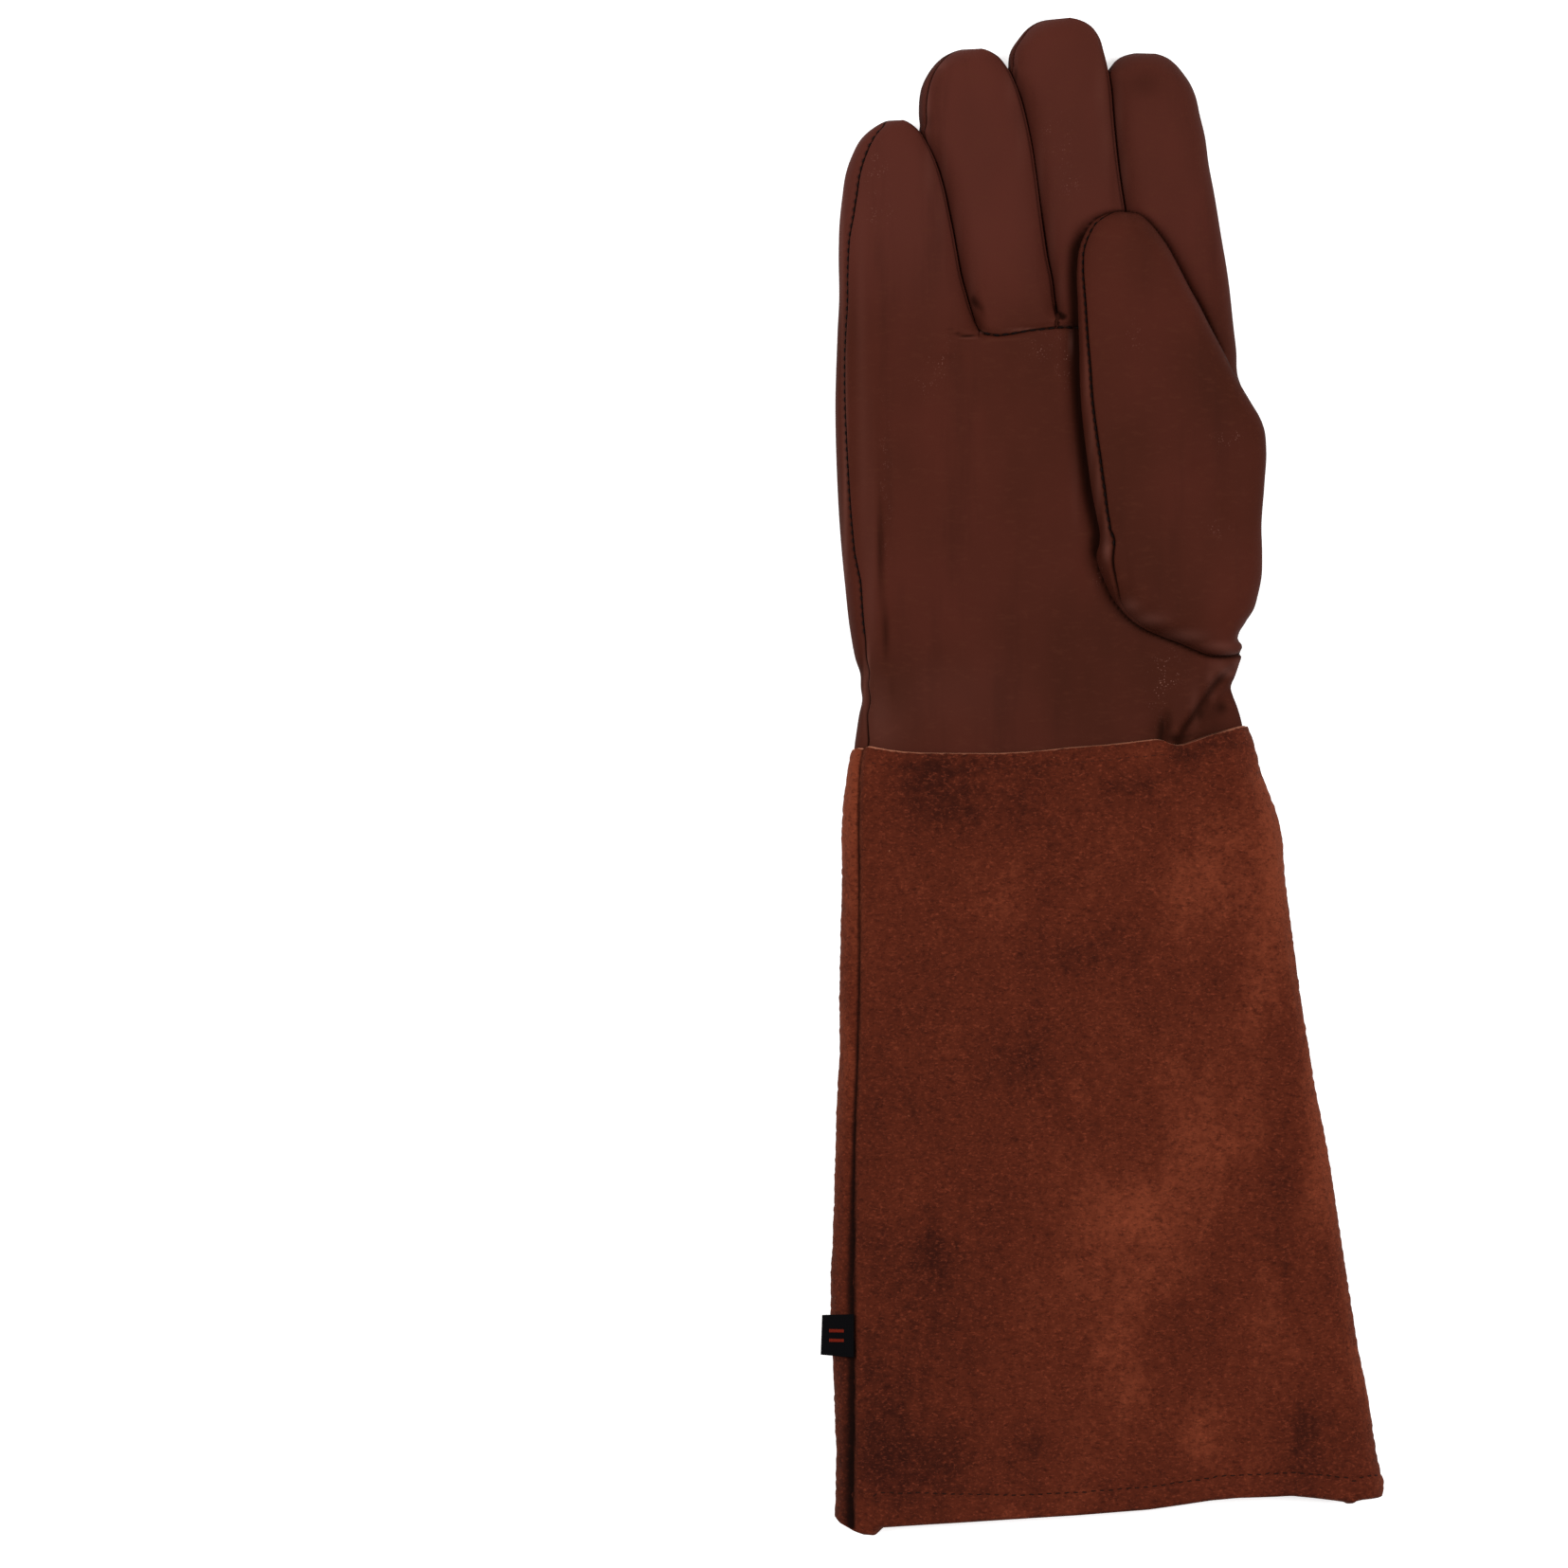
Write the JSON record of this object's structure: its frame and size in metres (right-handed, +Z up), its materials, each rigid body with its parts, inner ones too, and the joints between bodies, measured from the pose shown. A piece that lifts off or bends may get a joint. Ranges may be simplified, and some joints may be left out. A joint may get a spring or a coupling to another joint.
{
  "type": "rose-pruning gauntlet glove",
  "caption": "Right-hand pruning glove, palm up with the thumb folded over, smooth leather hand and long flared suede cuff that shields the forearm from thorns.",
  "frame": {"origin": "centre of the outline, on the surface that the back of the glove lies on", "axes": "+X towards the thumb side, +Y towards the fingertips, +Z up out of the palm"},
  "size_m": [0.1524, 0.4104, 0.0276],
  "materials": {
    "smooth_leather": "smooth grain, soft sheen",
    "suede": "napped split suede, mottled",
    "tab_weave": "dense black weave"
  },
  "bodies": {
    "root": {"back_panel": "smooth_leather", "palm_panel": "smooth_leather", "ring_front": "smooth_leather", "middle_front": "smooth_leather", "fork_little_ring": "smooth_leather", "fork_ring_middle": "smooth_leather", "fork_middle_index": "smooth_leather", "thumb_back": "smooth_leather", "thumb_front": "smooth_leather", "cuff": "suede", "size_tab": "tab_weave"}
  },
  "joints": []
}
